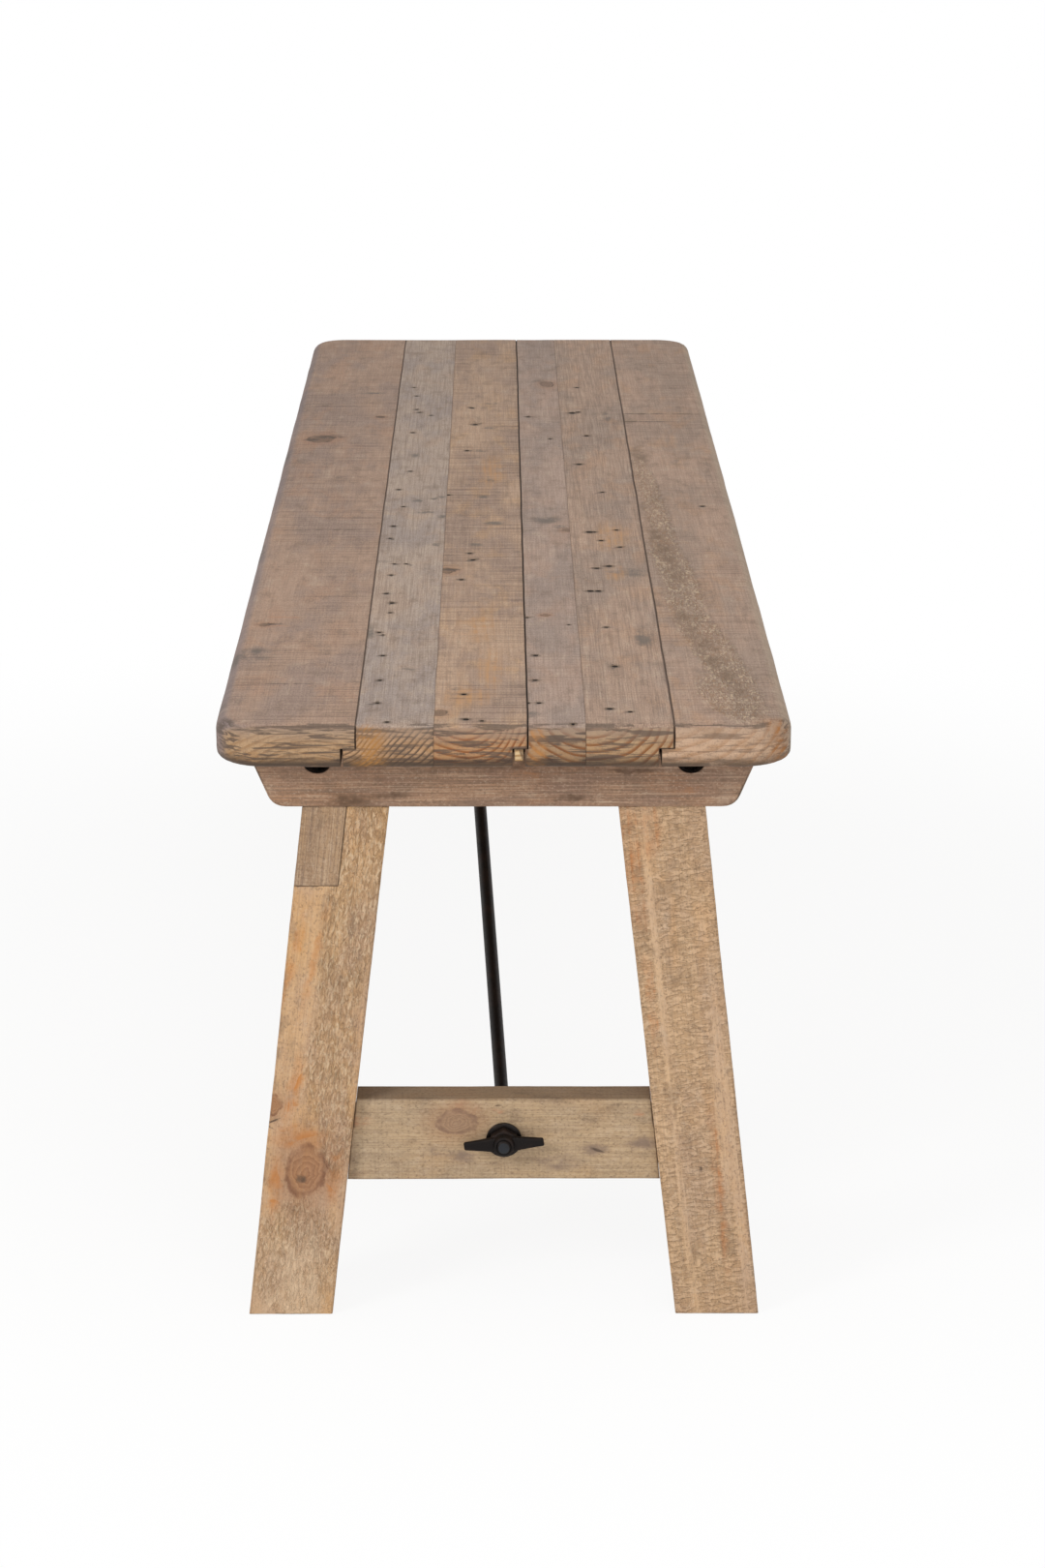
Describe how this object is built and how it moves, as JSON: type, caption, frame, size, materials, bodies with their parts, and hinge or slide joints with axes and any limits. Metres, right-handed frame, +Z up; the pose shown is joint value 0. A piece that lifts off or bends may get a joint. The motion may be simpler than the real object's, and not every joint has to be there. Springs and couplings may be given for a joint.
{
  "type": "monks bench",
  "caption": "Long bench with a seat of shiplapped boards on two splayed trestles, each braced to the middle of the seat by a bent iron rod with a wing nut.",
  "frame": {"origin": "on the floor, under the middle of the seat", "axes": "+Z up; Y along the seat, with -Y at the end that the picture shows; +X to the right seen from that end"},
  "size_m": [0.4, 1.5, 0.46],
  "materials": {
    "seat_boards": "worn reclaimed pine, waxed",
    "bearers": "worn reclaimed pine, waxed",
    "legs": "rough-sawn reclaimed pine",
    "iron": "dark waxed iron",
    "screws": "blackened steel"
  },
  "bodies": {
    "frame": {"seat_board_outer_left": "seat_boards", "seat_strip_left_outer": "seat_boards", "seat_strip_left_inner": "seat_boards", "seat_strip_right_inner": "seat_boards", "seat_strip_right_outer": "seat_boards", "seat_board_outer_right": "seat_boards", "seat_lap_filler": "seat_boards", "near_bearer": "bearers", "far_bearer": "bearers", "centre_cleat": "bearers", "near_left_leg": "legs", "near_left_leg_patch": "legs", "near_right_leg": "legs", "far_left_leg": "legs", "far_right_leg": "legs", "near_stretcher": "legs", "far_stretcher": "legs", "near_rod": "iron", "far_rod": "iron", "near_pocket_screw_left": "screws", "near_pocket_screw_right": "screws", "near_bearer_screw_left": "screws", "near_bearer_screw_right": "screws", "far_pocket_screw_left": "screws", "far_pocket_screw_right": "screws", "far_bearer_screw_left": "screws", "far_bearer_screw_right": "screws", "cleat_screw_1": "screws", "cleat_screw_2": "screws", "cleat_screw_3": "screws", "cleat_screw_4": "screws", "near_palm_screw": "screws", "far_palm_screw": "screws"},
    "near_washer": {"near_washer": "iron"},
    "near_wing_nut": {"near_wing_nut": "iron"},
    "far_washer": {"far_washer": "iron"},
    "far_wing_nut": {"far_wing_nut": "iron"}
  },
  "joints": [
    {"name": "near_washer_travel", "type": "slide", "parent": "frame", "child": "near_washer", "axis": [0, -1, 0], "range_m": [0, 0.0106]},
    {"name": "near_nut_turn", "type": "hinge", "parent": "near_washer", "child": "near_wing_nut", "pos_m": [0, -0.7062, 0.135], "axis": [0, -1, 0], "range_deg": [0, 2520]},
    {"name": "far_washer_travel", "type": "slide", "parent": "frame", "child": "far_washer", "axis": [0, 1, 0], "range_m": [0, 0.0106]},
    {"name": "far_nut_turn", "type": "hinge", "parent": "far_washer", "child": "far_wing_nut", "pos_m": [0, 0.7062, 0.135], "axis": [0, 1, 0], "range_deg": [0, 2520]}
  ],
  "couplings": [
    {"joint": "near_washer_travel", "follows": "near_nut_turn", "m_per_rad": 0.00023873},
    {"joint": "far_washer_travel", "follows": "far_nut_turn", "m_per_rad": 0.00023873}
  ]
}
